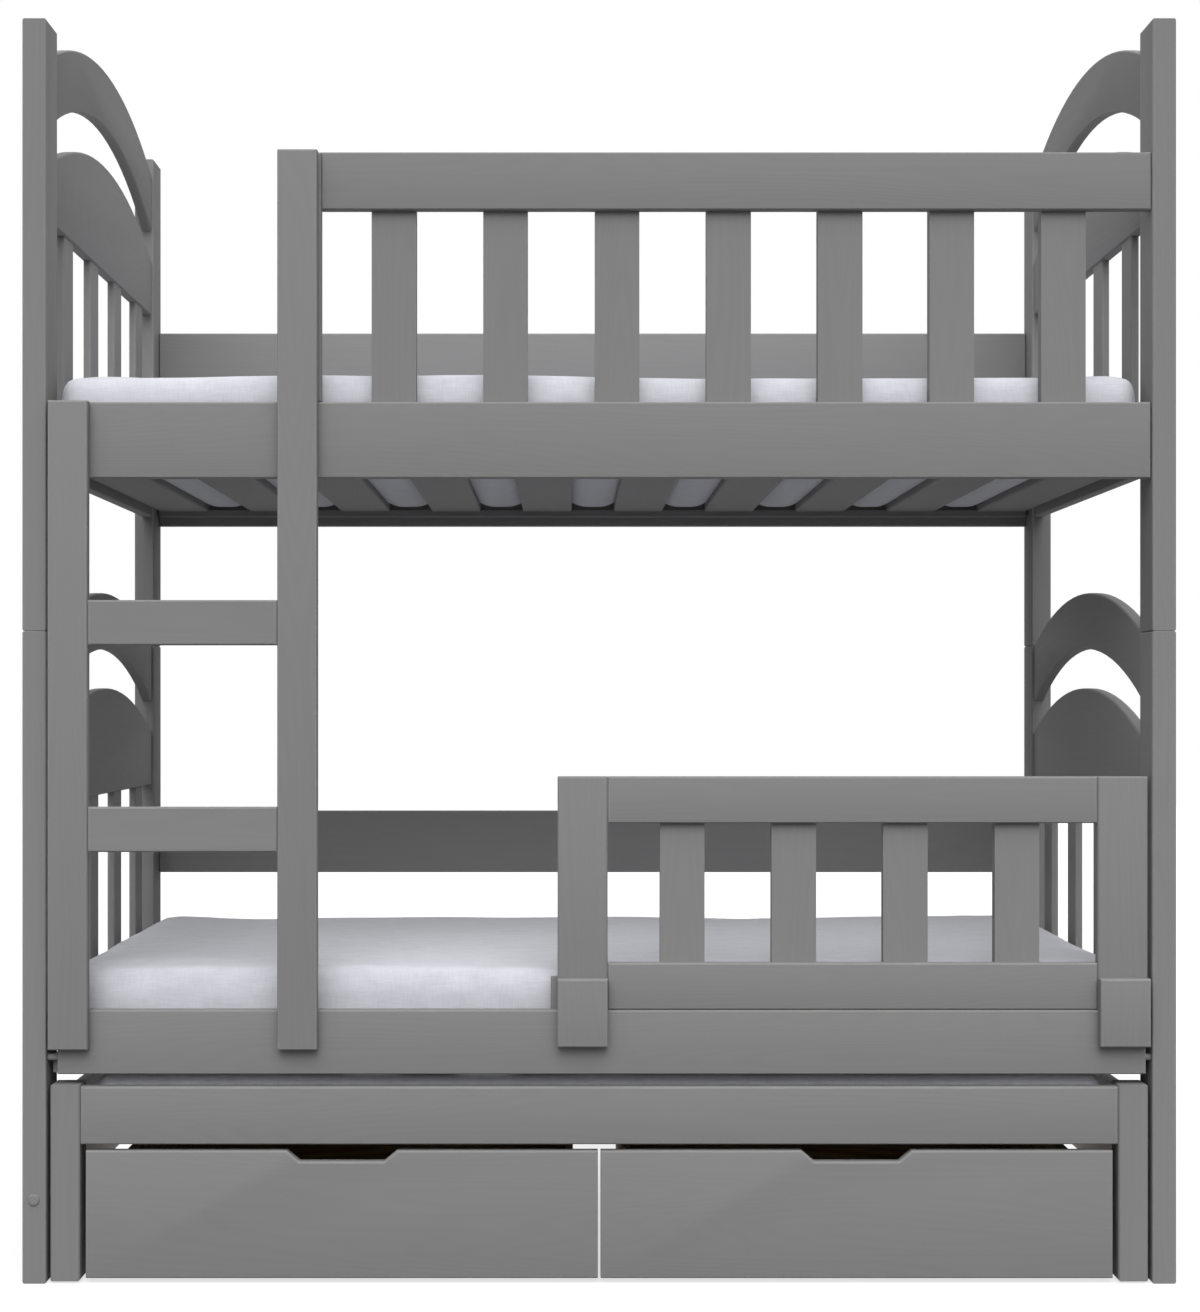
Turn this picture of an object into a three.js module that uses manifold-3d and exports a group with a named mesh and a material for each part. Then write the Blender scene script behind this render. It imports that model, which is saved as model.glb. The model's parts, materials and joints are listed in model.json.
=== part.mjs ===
// Triple bunk bed: two stacked beds with arched ends, a ladder, a hook-on guard,
// and a low trundle bed on wheels with two rolling drawers under it.
// Millimetres, +Z up, +X along the bed. Inside the bed group Y runs back from the posts' front faces.
import * as THREE from 'three';
import { mergeVertices } from 'three/addons/utils/BufferGeometryUtils.js';
import Module from 'manifold-3d';

// Whole frame
const frameLength = 1680;
const frameDepth = 880;
const boardThickness = 18;
const easedEdge = 2;
const seat = 0.3;

// Posts
const postWidth = 35;
const postDepth = 70;
const lowerPostHeight = 950;
const upperPostHeight = 892;
const stackDowelRadius = 7;
const stackDowelLength = 60;

// Rails and back guards, between the posts
const boardSetback = 4;
const lowerRailBottom = 304;
const lowerRailHeight = 94;
const upperRailRise = 223;
const upperRailHeight = 111;
const backGuardHeight = 114;
const backGuardRise = 133;
const railEndGap = 1;
const lowerRailLeftGap = 15;
const lowerRailRightGap = 8;
const pegRadius = 5;
const pegDepth = 24;
const pegInset = 24;

// Arched ends
const archRise = 76.5;
const storeyRise = 860.5;
const archRadius = 927;
const archBand = 92;
const archToPanel = 65;
const panelHeight = 174;
const endBoardHeight = 95;
const endBoardDrop = 370;
const endBoardInset = 3.5;
const endSlatWidth = 58;
const endSlatThickness = 12;
const endSlatPitch = 179;
const endSlatCount = 4;
const endSlatHousing = 12;

// Slatted bases
const bedSlatWidth = 90;
const bedSlatThickness = 18;
const bedSlatCount = 10;
const slatEndGap = 5;
const battenDepth = 20;
const battenHeight = 12;
const slatHousing = 2;
const lowerSlatRise = 10;
const upperSlatRise = 26;

// Mattresses
const mattressEndGap = 7;
const mattressBackGap = 17;
const lowerMattressThickness = 118;
const upperMattressThickness = 111;
const mattressEdgeRadius = 26;
const mattressCornerRadius = 34;
const mattressCrown = 5;
const mattressDrawIn = 4;
const guardSlatClearance = 1;

// Guards
const guardSlatWidth = 65;
const guardSlatThickness = 17.7;
const guardHousing = 1.3;
const upperGuardHeight = 84;
const upperGuardRise = 364;
const upperGuardSlatCount = 7;
const upperGuardFirstSlat = 105;
const upperGuardLastSlat = 126.1;
const upperGuardSlatDrop = 65;
const guardPostWidth = 60;
const lowerGuardRise = 340;
const lowerGuardBoardHeight = 68;
const lowerGuardEndInset = 40.4;
const lowerGuardLength = 860.3;
const lowerGuardSlatPitch = 163.15;
const guardStileWidth = 73;
const lowerGuardSlatCount = 4;
const lowerGuardFirstSlat = 109;
const hookHeight = 99;
const hookOverlap = 52;
const backPlateThickness = 8;
const backPlateOverhang = 10;

// Ladder
const ladderInset = 40;
const ladderStileWidth = 58;
const ladderWidth = 391;
const ladderBottomRise = 38;
const rungHeight = 65.5;
const lowerRungBottom = 629;
const rungRise = 300;

// Trundle bed
const trundleSideGap = 5.5;
const trundleSetback = 2;
const trundleBackGap = 58;
const trundleLegSize = 43;
const trundleLegTop = 289;
const trundleLegClearance = 3;
const trundleRailBottom = 202;
const trundleRailHeight = 84;
const trundleRailThickness = 22;
const trundleRailSetback = 1;
const trundleSideBottom = 121;
const trundleSideHeight = 146;
const trundleBaseGap = 11.5;
const trundleBattenBottom = 203;
const trundleSlatThickness = 12;
const trundleMattressGap = 6.7;
const trundleMattressThickness = 73;
const trundleEdgeRadius = 20;
const legHousing = 10;

// Trundle castors
const castorRadius = 30;
const castorWidth = 14;
const castorInset = 62;
const forkCheek = 3;
const forkOverlap = 22;
const forkWidth = 46;
const castorSideGap = 1;
const castorPinRadius = 4;
const runningGap = 0.1;

// Drawers
const drawerMiddleGap = 4;
const drawerSideGap = 8;
const drawerFrontBottom = 7;
const drawerFrontHeight = 186;
const gripWidth = 161;
const gripFloorWidth = 124;
const gripDepth = 16;
const drawerBoxInset = 36;
const drawerBoxDepth = 620;
const drawerSideBottom = 12;
const drawerSideTop = 170;
const drawerWall = 12;
const drawerFloorBottom = 34;
const drawerFloorThickness = 8;
const drawerWheelRadius = 22;
const drawerWheelWidth = 14;
const drawerWheelGap = 2;
const drawerAxleRadius = 4;
const drawerAxleInset = 80;

// Roundness of turned pieces and arcs
const roundSides = 8;
const axleSides = 16;
const wheelSides = 24;
const arcSteps = 10;

// Places that several pieces share
const halfLength = frameLength / 2;
const postInner = halfLength - postWidth;
const frontBoardFace = boardSetback;
const frontBoardBack = boardSetback + boardThickness;
const backBoardFace = frameDepth - boardSetback;
const backBoardFront = backBoardFace - boardThickness;
const ladderFront = frontBoardFace - boardThickness;
const ladderLeft = ladderInset - halfLength;
const lowerArchTop = lowerPostHeight + archRise;
const upperArchTop = lowerArchTop + storeyRise;
const postTop = lowerPostHeight + upperPostHeight;
const lowerRailTop = lowerRailBottom + lowerRailHeight;
const upperRailBottom = lowerPostHeight + upperRailRise;
const upperRailTop = upperRailBottom + upperRailHeight;
const upperGuardTop = upperRailTop + upperGuardRise;
const lowerSlatBottom = lowerRailBottom + lowerSlatRise;
const upperSlatBottom = upperRailBottom + upperSlatRise;
const bedSlatSpan = 2 * (postInner - slatEndGap);
const mattressFront = frontBoardBack + seat + guardSlatThickness + guardSlatClearance;
const mattressLength = 2 * (postInner - mattressEndGap);
const mattressDepth = backBoardFront - mattressBackGap - mattressFront;

const wasm = await Module();
wasm.setup();

const bed = new THREE.Group();
bed.position.y = -(frameDepth + ladderFront) / 2;

// Finishes
const paintedPine = new THREE.MeshStandardMaterial({ color: 0x828282, roughness: 0.55, metalness: 0 });
const rawPine = new THREE.MeshStandardMaterial({ color: 0x8f8b84, roughness: 0.7, metalness: 0 });
const ticking = new THREE.MeshStandardMaterial({ color: 0xd0d0d9, roughness: 0.95, metalness: 0 });
const wheelPlastic = new THREE.MeshStandardMaterial({ color: 0x3a3a3c, roughness: 0.45, metalness: 0 });

function place(name, geometry, material) {
  const mesh = new THREE.Mesh(geometry, material.clone());
  mesh.name = name;
  bed.add(mesh);
  return mesh;
}

// Joining and cutting of closed geometries
function solidOf(geometry) {
  const bare = geometry.clone();
  bare.deleteAttribute('normal');
  bare.deleteAttribute('uv');
  const merged = mergeVertices(bare, 1e-3);
  return new wasm.Manifold(new wasm.Mesh({
    numProp: 3,
    vertProperties: Float32Array.from(merged.attributes.position.array),
    triVerts: Uint32Array.from(merged.index.array),
  }));
}

function geometryOf(solid) {
  const mesh = solid.getMesh();
  const geometry = new THREE.BufferGeometry();
  geometry.setAttribute('position', new THREE.BufferAttribute(mesh.vertProperties, 3));
  geometry.setIndex(new THREE.BufferAttribute(mesh.triVerts, 1));
  return geometry;
}

function join(pieces) {
  return geometryOf(pieces.map(solidOf).reduce((whole, piece) => whole.add(piece)));
}

function cut(piece, tools) {
  return geometryOf(tools.map(solidOf).reduce((whole, tool) => whole.subtract(tool), solidOf(piece)));
}

// A flat outline given a thickness, with its face edges eased
function easedPlate(outline, thickness, ease = easedEdge) {
  const geometry = new THREE.ExtrudeGeometry(outline, {
    depth: thickness - 2 * ease,
    bevelEnabled: true,
    bevelThickness: ease,
    bevelSize: ease,
    bevelOffset: -ease,
    bevelSegments: 1,
    curveSegments: arcSteps,
  });
  geometry.translate(0, 0, ease);
  return geometry;
}

const faceX = new THREE.Matrix4().makeBasis(
  new THREE.Vector3(0, 1, 0), new THREE.Vector3(0, 0, 1), new THREE.Vector3(1, 0, 0));
const faceY = new THREE.Matrix4().makeBasis(
  new THREE.Vector3(1, 0, 0), new THREE.Vector3(0, 0, 1), new THREE.Vector3(0, -1, 0));

function rectangle(x0, y0, x1, y1) {
  const shape = new THREE.Shape();
  shape.moveTo(x0, y0);
  shape.lineTo(x1, y0);
  shape.lineTo(x1, y1);
  shape.lineTo(x0, y1);
  shape.closePath();
  return shape;
}

// An outline in Y and Z that is as thick as x0 to x1
function plateAcrossX(outline, x0, x1) {
  const geometry = easedPlate(outline, x1 - x0);
  geometry.applyMatrix4(faceX);
  geometry.translate(x0, 0, 0);
  return geometry;
}

// An outline in X and Z that is as thick as y0 to y1
function plateAcrossY(outline, y0, y1) {
  const geometry = easedPlate(outline, y1 - y0);
  geometry.applyMatrix4(faceY);
  geometry.translate(0, y1, 0);
  return geometry;
}

// An eased board lying along X, its wide face to the front
function frontBoard(x0, x1, y0, y1, z0, z1) {
  return plateAcrossY(rectangle(x0, z0, x1, z1), y0, y1);
}

// An eased board with its wide face to the side
function sideBoard(x0, x1, y0, y1, z0, z1) {
  return plateAcrossX(rectangle(y0, z0, y1, z1), x0, x1);
}

// An eased board lying flat
function flatBoard(x0, x1, y0, y1, z0, z1, ease = easedEdge) {
  const geometry = easedPlate(rectangle(x0, y0, x1, y1), z1 - z0, ease);
  geometry.translate(0, 0, z0);
  return geometry;
}

function block(x0, x1, y0, y1, z0, z1) {
  const geometry = new THREE.BoxGeometry(x1 - x0, y1 - y0, z1 - z0);
  geometry.translate((x0 + x1) / 2, (y0 + y1) / 2, (z0 + z1) / 2);
  return geometry;
}

function rodAlongX(x0, x1, y, z, radius, sides = roundSides) {
  const geometry = new THREE.CylinderGeometry(radius, radius, x1 - x0, sides);
  geometry.rotateZ(Math.PI / 2);
  geometry.translate((x0 + x1) / 2, y, z);
  return geometry;
}

function rodAlongZ(x, y, z0, z1, radius) {
  const geometry = new THREE.CylinderGeometry(radius, radius, z1 - z0, roundSides);
  geometry.rotateX(Math.PI / 2);
  geometry.translate(x, y, (z0 + z1) / 2);
  return geometry;
}

// The four long boards of a storey that are pegged into the posts: front, back and back guard
const peggedBoards = [
  { name: 'lower_front_rail', bottom: lowerRailBottom, height: lowerRailHeight, back: false,
    leftGap: lowerRailLeftGap, rightGap: lowerRailRightGap },
  { name: 'lower_back_rail', bottom: lowerRailBottom, height: lowerRailHeight, back: true },
  { name: 'lower_back_guard', bottom: lowerRailTop + backGuardRise, height: backGuardHeight, back: true },
  { name: 'upper_front_rail', bottom: upperRailBottom, height: upperRailHeight, back: false },
  { name: 'upper_back_rail', bottom: upperRailBottom, height: upperRailHeight, back: true },
  { name: 'upper_back_guard', bottom: upperRailTop + backGuardRise, height: backGuardHeight, back: true },
];

function pegHeights(board) {
  return [board.bottom + pegInset, board.bottom + board.height - pegInset];
}

function boardMiddle(board) {
  return board.back ? (backBoardFront + backBoardFace) / 2 : (frontBoardFace + frontBoardBack) / 2;
}

// A long board with two pegs at each end, which enter the posts
function peggedBoard(board) {
  const x0 = -postInner + (board.leftGap ?? railEndGap);
  const x1 = postInner - (board.rightGap ?? railEndGap);
  const y0 = board.back ? backBoardFront : frontBoardFace;
  const plank = frontBoard(x0, x1, y0, y0 + boardThickness, board.bottom, board.bottom + board.height);
  const pegs = pegHeights(board).flatMap((z) => [
    rodAlongX(-postInner - pegDepth, x0 + pegDepth, boardMiddle(board), z, pegRadius),
    rodAlongX(x1 - pegDepth, postInner + pegDepth, boardMiddle(board), z, pegRadius),
  ]);
  return join([plank, ...pegs]);
}

// A post with the bores for its boards' pegs, and the stacking dowel or its bore
function post(side, back, bottom, top, boards, isLower) {
  const inner = side * postInner;
  const outer = side * halfLength;
  const y0 = back ? frameDepth - postDepth : 0;
  const timber = sideBoard(Math.min(inner, outer), Math.max(inner, outer), y0, y0 + postDepth, bottom, top);
  const boreEnd = inner + side * (pegDepth + seat);
  const boreStart = inner - side;
  const bores = boards.filter((board) => board.back === back).flatMap((board) =>
    pegHeights(board).map((z) => rodAlongX(
      Math.min(boreStart, boreEnd), Math.max(boreStart, boreEnd), boardMiddle(board), z, pegRadius + seat)));
  const bored = cut(timber, bores);
  const x = (inner + outer) / 2;
  const y = y0 + postDepth / 2;
  const half = stackDowelLength / 2;
  if (isLower) {
    return join([bored, rodAlongZ(x, y, top - half, top + half, stackDowelRadius)]);
  }
  return cut(bored, [rodAlongZ(x, y, bottom - 1, bottom + half + seat, stackDowelRadius + seat)]);
}

function addPosts() {
  for (const [sideName, side] of [['left', -1], ['right', 1]]) {
    for (const [placeName, back] of [['front', false], ['back', true]]) {
      const below = peggedBoards.filter((board) => board.bottom < lowerPostHeight);
      const above = peggedBoards.filter((board) => board.bottom >= lowerPostHeight);
      place(`lower_${placeName}_${sideName}_post`,
        post(side, back, 0, lowerPostHeight, below, true), paintedPine);
      place(`upper_${placeName}_${sideName}_post`,
        post(side, back, lowerPostHeight + seat, postTop, above, false), paintedPine);
    }
  }
}

// Arched ends: each storey and side has a bent arch board, an arched panel and slats let into it
const endFront = postDepth + seat;
const endBack = frameDepth - postDepth - seat;
const endMiddle = (endFront + endBack) / 2;
const endHalf = (endBack - endFront) / 2;

function archOutline(top) {
  const centre = top - archRadius;
  const innerRadius = archRadius - archBand;
  const outerAngle = Math.acos(endHalf / archRadius);
  const innerAngle = Math.acos(endHalf / innerRadius);
  const shape = new THREE.Shape();
  shape.absarc(endMiddle, centre, archRadius, outerAngle, Math.PI - outerAngle, false);
  shape.absarc(endMiddle, centre, innerRadius, Math.PI - innerAngle, innerAngle, true);
  shape.closePath();
  return shape;
}

function panelOutline(top) {
  const angle = Math.acos(endHalf / archRadius);
  const shape = new THREE.Shape();
  shape.moveTo(endFront, top - panelHeight);
  shape.lineTo(endBack, top - panelHeight);
  shape.absarc(endMiddle, top - archRadius, archRadius, angle, Math.PI - angle, false);
  shape.closePath();
  return shape;
}

function endSlatCentres() {
  const first = endMiddle - endSlatPitch * (endSlatCount - 1) / 2;
  return Array.from({ length: endSlatCount }, (_, k) => first + k * endSlatPitch);
}

function addEnd(storey, archTop, sideName, side) {
  const innerFace = postInner + endBoardInset;
  const outerFace = innerFace + boardThickness;
  const across = [side * innerFace, side * outerFace].sort((a, b) => a - b);
  const slatInner = (innerFace + outerFace - endSlatThickness) / 2;
  const slatAcross = [side * slatInner, side * (slatInner + endSlatThickness)].sort((a, b) => a - b);
  const panelTop = archTop - archBand - archToPanel;
  const panelBottom = panelTop - panelHeight;
  const endBoardBottom = panelBottom - endBoardDrop;
  const endBoardTop = endBoardBottom + endBoardHeight;
  place(`${storey}_${sideName}_arch`, plateAcrossX(archOutline(archTop), ...across), paintedPine);

  const housings = endSlatCentres().map((y) => block(
    slatAcross[0] - seat, slatAcross[1] + seat,
    y - endSlatWidth / 2 - seat, y + endSlatWidth / 2 + seat,
    panelBottom - 1, panelBottom + endSlatHousing + seat));
  place(`${storey}_${sideName}_panel`,
    cut(plateAcrossX(panelOutline(panelTop), ...across), housings), paintedPine);

  const slats = endSlatCentres().map((y) => sideBoard(
    ...slatAcross, y - endSlatWidth / 2, y + endSlatWidth / 2,
    endBoardTop - endSlatHousing, panelBottom + endSlatHousing));
  const bottomBoard = sideBoard(...across, endFront, endBack, endBoardBottom, endBoardTop);
  place(`${storey}_${sideName}_end_slats`, join([bottomBoard, ...slats]), paintedPine);
}

function addEnds() {
  for (const [storey, archTop] of [['lower', lowerArchTop], ['upper', upperArchTop]]) {
    addEnd(storey, archTop, 'left', -1);
    addEnd(storey, archTop, 'right', 1);
  }
}

// Cross slats let into the two battens that carry them along the rails
function slattedBase(span, y0, y1, bottom, thickness) {
  const pitch = (span - bedSlatWidth) / (bedSlatCount - 1);
  const battens = [y0, y1 - battenDepth].map((y) => block(
    -span / 2, span / 2, y, y + battenDepth, bottom + slatHousing - battenHeight, bottom + slatHousing));
  const slats = Array.from({ length: bedSlatCount }, (_, k) => {
    const x0 = -span / 2 + k * pitch;
    return flatBoard(x0, x0 + bedSlatWidth, y0, y1, bottom, bottom + thickness);
  });
  return join([...battens, ...slats]);
}

// A sprung block in a sewn cover: rounded edges, a low crown and sides drawn in between the corners
function mattressForm(length, depth, thickness, edgeRadius) {
  const cornerSteps = 4;
  const longSteps = 6;
  const shortSteps = 4;
  const edgeSteps = 3;
  const sideSteps = 2;
  const crownRings = [0.82, 0.55, 0.25];

  // Plan outline as unit directions along a rounded rectangle, inset by a distance
  function planPoint(u, inset) {
    const corner = mattressCornerRadius - Math.min(inset, mattressCornerRadius * 0.8);
    const halfX = length / 2 - inset;
    const halfY = depth / 2 - inset;
    const { side, t, quarter } = u;
    const signX = quarter === 0 || quarter === 3 ? 1 : -1;
    const signY = quarter < 2 ? 1 : -1;
    if (side === 'corner') {
      const angle = t * Math.PI / 2 + quarter * Math.PI / 2;
      return [signX * (halfX - corner) + corner * Math.cos(angle),
        signY * (halfY - corner) + corner * Math.sin(angle)];
    }
    const pull = mattressDrawIn * (1 - (2 * t - 1) ** 2);
    if (quarter % 2 === 0) {
      return [(halfX - corner) * (1 - 2 * t) * signX, signY * (halfY - pull)];
    }
    return [signX * (halfX - pull), (halfY - corner) * (1 - 2 * t) * signY];
  }

  const plan = [];
  for (let quarter = 0; quarter < 4; quarter += 1) {
    for (let k = 0; k <= cornerSteps; k += 1) {
      plan.push({ side: 'corner', t: k / cornerSteps, quarter });
    }
    const steps = quarter % 2 === 0 ? longSteps : shortSteps;
    for (let k = 1; k < steps; k += 1) {
      plan.push({ side: 'straight', t: k / steps, quarter });
    }
  }

  // Rings from the middle of the underside, round the edge, up the side and over the crown
  const shoulder = thickness - mattressCrown - edgeRadius;
  const rings = [];
  for (let k = 0; k <= edgeSteps; k += 1) {
    const angle = k / edgeSteps * Math.PI / 2;
    rings.push({ inset: edgeRadius * (1 - Math.sin(angle)), z: edgeRadius * (1 - Math.cos(angle)) });
  }
  for (let k = 1; k < sideSteps; k += 1) {
    rings.push({ inset: 0, z: edgeRadius + (shoulder - edgeRadius) * k / sideSteps });
  }
  for (let k = 0; k <= edgeSteps; k += 1) {
    const angle = k / edgeSteps * Math.PI / 2;
    rings.push({ inset: edgeRadius * (1 - Math.cos(angle)), z: shoulder + edgeRadius * Math.sin(angle) });
  }

  const positions = [0, 0, 0];
  const indices = [];
  const count = plan.length;
  for (const ring of rings) {
    for (const u of plan) {
      positions.push(...planPoint(u, ring.inset), ring.z);
    }
  }
  for (const share of crownRings) {
    for (const u of plan) {
      const [x, y] = planPoint(u, edgeRadius);
      positions.push(x * share, y * share, thickness - mattressCrown * share ** 2);
    }
  }
  positions.push(0, 0, thickness);
  const ringTotal = rings.length + crownRings.length;
  for (let k = 0; k < count; k += 1) {
    const next = (k + 1) % count;
    indices.push(0, 1 + next, 1 + k);
    for (let r = 0; r < ringTotal - 1; r += 1) {
      const low = 1 + r * count;
      const high = low + count;
      indices.push(low + k, low + next, high + next, low + k, high + next, high + k);
    }
    const last = 1 + (ringTotal - 1) * count;
    indices.push(last + k, last + next, last + count);
  }
  const geometry = new THREE.BufferGeometry();
  geometry.setAttribute('position', new THREE.Float32BufferAttribute(positions, 3));
  geometry.setIndex(indices);
  return geometry;
}

function addSleepingLevel(storey, slatBottom, mattressThickness) {
  place(`${storey}_slatted_base`,
    slattedBase(bedSlatSpan, frontBoardBack + seat, backBoardFront - seat, slatBottom, bedSlatThickness),
    paintedPine);
  const mattress = mattressForm(mattressLength, mattressDepth, mattressThickness, mattressEdgeRadius);
  mattress.translate(0, mattressFront + mattressDepth / 2, slatBottom + bedSlatThickness + seat);
  place(`${storey}_mattress`, mattress, ticking);
}

// Upper guard: a top board with slats let into its back, screwed behind the rail, and an end post
const guardPostRight = ladderLeft + ladderWidth + boardSetback;
const guardPostLeft = guardPostRight - guardPostWidth;
const upperGuardSlatPitch = (postInner - upperGuardLastSlat - guardPostRight - upperGuardFirstSlat)
  / (upperGuardSlatCount - 1);

function addUpperGuard() {
  const boardBottom = upperGuardTop - upperGuardHeight;
  const x0 = guardPostRight + seat;
  const board = frontBoard(x0, postInner - seat, frontBoardFace, frontBoardBack, boardBottom, upperGuardTop);
  const slatFront = frontBoardBack + seat;
  const slats = Array.from({ length: upperGuardSlatCount }, (_, k) => {
    const centre = guardPostRight + upperGuardFirstSlat + k * upperGuardSlatPitch;
    const left = centre - guardSlatWidth / 2;
    const right = centre + guardSlatWidth / 2;
    return [
      frontBoard(left, right, slatFront, slatFront + guardSlatThickness,
        upperRailTop - upperGuardSlatDrop, upperGuardTop - 2 * easedEdge),
      block(left + easedEdge, right - easedEdge, frontBoardBack - guardHousing, slatFront + guardHousing,
        boardBottom + 2 * easedEdge, upperGuardTop - 4 * easedEdge),
    ];
  }).flat();
  place('upper_guard', join([board, ...slats]), paintedPine);
  place('upper_guard_end_post', frontBoard(guardPostLeft, guardPostRight, frontBoardFace, frontBoardBack,
    upperRailTop + seat, upperGuardTop), paintedPine);
}

// Lower guard: hooks over the front rail and lifts off
function addLowerGuard() {
  const bottom = lowerRailTop + seat;
  const lowerGuardTop = lowerRailTop + lowerGuardRise;
  const lowerGuardRight = halfLength - lowerGuardEndInset;
  const lowerGuardLeft = lowerGuardRight - lowerGuardLength;
  const grilleLeft = lowerGuardLeft + guardStileWidth + seat;
  const grilleRight = lowerGuardRight - guardStileWidth - seat;
  const boards = [bottom, lowerGuardTop - lowerGuardBoardHeight].map((z) => frontBoard(
    grilleLeft, grilleRight, frontBoardFace, frontBoardBack, z, z + lowerGuardBoardHeight));
  const slats = Array.from({ length: lowerGuardSlatCount }, (_, k) => {
    const centre = grilleLeft + lowerGuardFirstSlat + k * lowerGuardSlatPitch;
    return frontBoard(centre - guardSlatWidth / 2, centre + guardSlatWidth / 2,
      frontBoardBack - guardHousing, frontBoardBack + guardSlatThickness - guardHousing,
      bottom + easedEdge, lowerGuardTop - easedEdge);
  });
  place('lower_guard_grille', join([...boards, ...slats]), paintedPine);

  const hookBottom = lowerRailTop - hookOverlap;
  for (const [sideName, x0] of [['left', lowerGuardLeft], ['right', lowerGuardRight - guardStileWidth]]) {
    const x1 = x0 + guardStileWidth;
    const stile = frontBoard(x0, x1, frontBoardFace, frontBoardBack, bottom, lowerGuardTop);
    const plateLeft = sideName === 'left' ? x0 - backPlateOverhang : x0;
    const plate = frontBoard(plateLeft, x1, frontBoardBack + seat, frontBoardBack + seat + backPlateThickness,
      hookBottom, hookBottom + hookHeight);
    const glueline = block(x0 + easedEdge, x1 - easedEdge, frontBoardBack - guardHousing,
      frontBoardBack + seat + guardHousing, bottom + 2 * easedEdge, hookBottom + hookHeight - 2 * easedEdge);
    place(`lower_guard_${sideName}_stile`, join([stile, plate, glueline]), paintedPine);
    place(`lower_guard_${sideName}_hook`, frontBoard(x0, x1, ladderFront, frontBoardFace - seat,
      hookBottom, hookBottom + hookHeight), paintedPine);
  }
}

// Ladder: a short and a tall stile on the rails' faces, with two flat rungs between them
function addLadder() {
  const back = frontBoardFace - seat;
  const ladderBottom = lowerRailBottom + ladderBottomRise;
  const rightStile = ladderLeft + ladderWidth - ladderStileWidth;
  const rungLeft = ladderLeft + ladderStileWidth + seat;
  const rungRight = rightStile - seat;
  place('ladder_left_stile', frontBoard(ladderLeft, ladderLeft + ladderStileWidth, ladderFront, back,
    ladderBottom, upperRailTop), paintedPine);
  place('ladder_right_stile', frontBoard(rightStile, rightStile + ladderStileWidth, ladderFront, back,
    ladderBottom, upperGuardTop), paintedPine);
  for (const [name, z] of [['lower', lowerRungBottom], ['upper', lowerRungBottom + rungRise]]) {
    place(`ladder_${name}_rung`, frontBoard(rungLeft, rungRight, ladderFront, back, z, z + rungHeight), paintedPine);
  }
}

// Trundle bed
const trundleOuter = postInner - trundleSideGap;
const trundleInner = trundleOuter - trundleLegSize;
const trundleFront = trundleSetback;
const trundleBack = frameDepth - trundleBackGap;
const trundleRailFront = trundleFront + trundleRailSetback;
const trundleBackRailFace = trundleBack - trundleRailSetback;
const castorPlane = trundleOuter - boardThickness / 2;
const castorPlaces = [trundleFront + trundleLegSize + castorInset, trundleBack - trundleLegSize - castorInset];

function trundlePegHeights() {
  return [trundleRailBottom + pegInset, trundleRailBottom + trundleRailHeight - pegInset];
}

// One steel cheek: wide where it is screwed to the board, round at the axle
function forkCheekPlate(y, x0) {
  const shape = new THREE.Shape();
  const top = trundleSideBottom + forkOverlap;
  const tipRadius = castorPinRadius * 3;
  shape.moveTo(y + forkWidth / 2, top);
  shape.lineTo(y - forkWidth / 2, top);
  shape.lineTo(y - forkWidth / 2, trundleSideBottom);
  shape.absarc(y, castorRadius, tipRadius, Math.PI, 2 * Math.PI, false);
  shape.lineTo(y + forkWidth / 2, trundleSideBottom);
  shape.closePath();
  const geometry = new THREE.ExtrudeGeometry(shape, { depth: forkCheek, bevelEnabled: false, curveSegments: 6 });
  geometry.applyMatrix4(faceX);
  geometry.translate(x0, 0, 0);
  return geometry;
}

// Two cheeks and the axle pin of one castor, about the middle plane of the side board
function castorFork(plane, y) {
  const halfGap = castorWidth / 2 + castorSideGap;
  return [
    forkCheekPlate(y, plane - halfGap - forkCheek),
    forkCheekPlate(y, plane + halfGap),
    rodAlongX(plane - halfGap - forkCheek / 2, plane + halfGap + forkCheek / 2, y, castorRadius,
      castorPinRadius, roundSides),
  ];
}

// One side of the trundle: two legs, the board housed in them and its two castor forks
function trundleSide(side) {
  const outer = side * trundleOuter;
  const inner = side * trundleInner;
  const legX = [outer, inner].sort((a, b) => a - b);
  const boardX = [outer, outer - side * boardThickness].sort((a, b) => a - b);
  const legs = [trundleFront, trundleBack - trundleLegSize].map((y) => sideBoard(
    ...legX, y, y + trundleLegSize, trundleLegClearance, trundleLegTop));
  const housedBoard = block(...boardX, trundleFront + trundleLegSize - legHousing,
    trundleBack - trundleLegSize + legHousing,
    trundleSideBottom, trundleSideBottom + trundleSideHeight);
  const forks = castorPlaces.flatMap((y) => castorFork(side * castorPlane, y));
  const whole = join([...legs, housedBoard, ...forks]);
  const railMiddles = [trundleRailFront + trundleRailThickness / 2, trundleBackRailFace - trundleRailThickness / 2];
  const boreX = [inner - side, inner + side * (pegDepth + seat)].sort((a, b) => a - b);
  const bores = railMiddles.flatMap((y) => trundlePegHeights().map((z) => rodAlongX(
    ...boreX, y, z, pegRadius + seat)));
  return cut(whole, bores);
}

function trundleRail(y0) {
  const x1 = trundleInner - seat;
  const plank = frontBoard(-x1, x1, y0, y0 + trundleRailThickness, trundleRailBottom,
    trundleRailBottom + trundleRailHeight);
  const middle = y0 + trundleRailThickness / 2;
  const pegs = trundlePegHeights().flatMap((z) => [
    rodAlongX(-trundleInner - pegDepth, -x1 + pegDepth, middle, z, pegRadius),
    rodAlongX(x1 - pegDepth, trundleInner + pegDepth, middle, z, pegRadius),
  ]);
  return join([plank, ...pegs]);
}

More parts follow.
